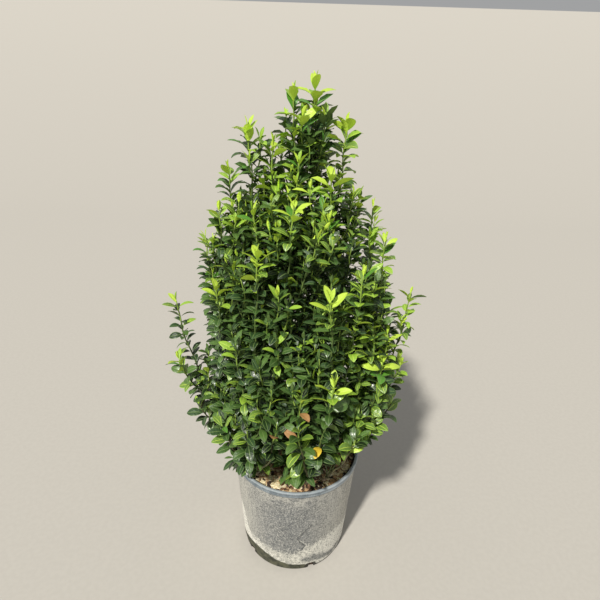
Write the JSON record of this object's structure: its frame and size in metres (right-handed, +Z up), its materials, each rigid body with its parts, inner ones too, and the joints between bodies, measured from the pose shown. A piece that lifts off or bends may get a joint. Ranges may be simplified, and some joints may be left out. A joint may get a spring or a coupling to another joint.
{
  "type": "potted euonymus shrub",
  "caption": "Dense upright evergreen shrub with small glossy paired leaves, growing in a round grey nursery pot.",
  "frame": {"origin": "centre of the flat underside of the pot", "axes": "+Z up along the stem, -Y towards the side seen in the picture, +X to the right of that view"},
  "size_m": [0.5584, 0.5234, 1.0521],
  "materials": {
    "pot_plastic": "weathered mid-grey moulded plastic, finely mottled, with a whitish tide mark above the foot",
    "potting_mix": "dry bark chips and fibre over dark damp compost",
    "bark": "thin grey-brown bark with fine lengthwise cracks, green on the youngest limbs",
    "foliage": "glossy leathery leaves, dark green low down and lime at the shoot tips"
  },
  "bodies": {
    "root": {"bough_back_high": "bark", "bough_back_left": "bark", "bough_back_left_low": "bark", "bough_back_low": "bark", "bough_back_right": "bark", "bough_back_right_low": "bark", "bough_front_high": "bark", "bough_front_left": "bark", "bough_front_low": "bark", "bough_front_right": "bark", "bough_heart_front": "bark", "bough_heart_left": "bark", "bough_heart_right": "bark", "bough_left_crown": "bark", "bough_left_high": "bark", "bough_left_out": "bark", "bough_left_shoulder": "bark", "bough_right_crown": "bark", "bough_right_high": "bark", "bough_right_low": "bark", "bough_right_out": "bark", "bough_skirt_back_left": "bark", "bough_skirt_back_right": "bark", "bough_skirt_front_left": "bark", "bough_skirt_front_right": "bark", "bough_skirt_left": "bark", "bough_skirt_right": "bark", "bough_top": "bark", "foliage_back_high": "foliage", "foliage_back_left": "foliage", "foliage_back_left_low": "foliage", "foliage_back_low": "foliage", "foliage_back_right": "foliage", "foliage_back_right_low": "foliage", "foliage_front_high": "foliage", "foliage_front_left": "foliage", "foliage_front_low": "foliage", "foliage_front_right": "foliage", "foliage_heart_front": "foliage", "foliage_heart_left": "foliage", "foliage_heart_right": "foliage", "foliage_left_crown": "foliage", "foliage_left_high": "foliage", "foliage_left_out": "foliage", "foliage_left_shoulder": "foliage", "foliage_right_crown": "foliage", "foliage_right_high": "foliage", "foliage_right_low": "foliage", "foliage_right_out": "foliage", "foliage_skirt_back_left": "foliage", "foliage_skirt_back_right": "foliage", "foliage_skirt_front_left": "foliage", "foliage_skirt_front_right": "foliage", "foliage_skirt_left": "foliage", "foliage_skirt_right": "foliage", "foliage_top": "foliage", "pot": "pot_plastic", "potting_mix": "potting_mix", "stem": "bark"}
  },
  "joints": []
}
